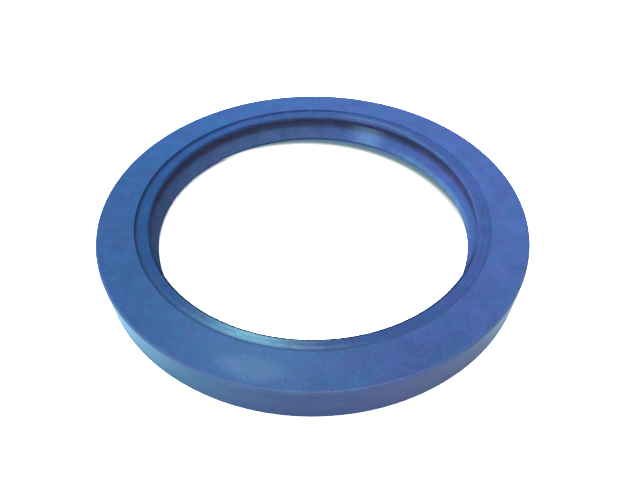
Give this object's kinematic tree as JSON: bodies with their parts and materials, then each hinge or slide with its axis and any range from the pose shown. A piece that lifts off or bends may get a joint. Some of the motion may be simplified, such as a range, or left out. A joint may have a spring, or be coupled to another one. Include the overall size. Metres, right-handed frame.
{
  "type": "radial shaft seal",
  "caption": "Rubber-covered rotary shaft seal for a 100 mm shaft in a 130 mm bore, with a spring-loaded sealing lip, a dust lip and a bonded steel case.",
  "frame": {"origin": "on the axis, in the plane of the fluid-side rim that enters the housing first", "axes": "+Z along the seal's axis, from the fluid side to the back face on the air side"},
  "size_m": [0.13, 0.13, 0.012],
  "materials": {
    "blue_rubber": "satin moulded elastomer",
    "case_steel": "phosphated pressed sheet",
    "spring_steel": "bright drawn wire"
  },
  "bodies": {
    "root": {"rubber_body": "blue_rubber", "metal_case": "case_steel", "garter_spring": "spring_steel"}
  },
  "joints": []
}
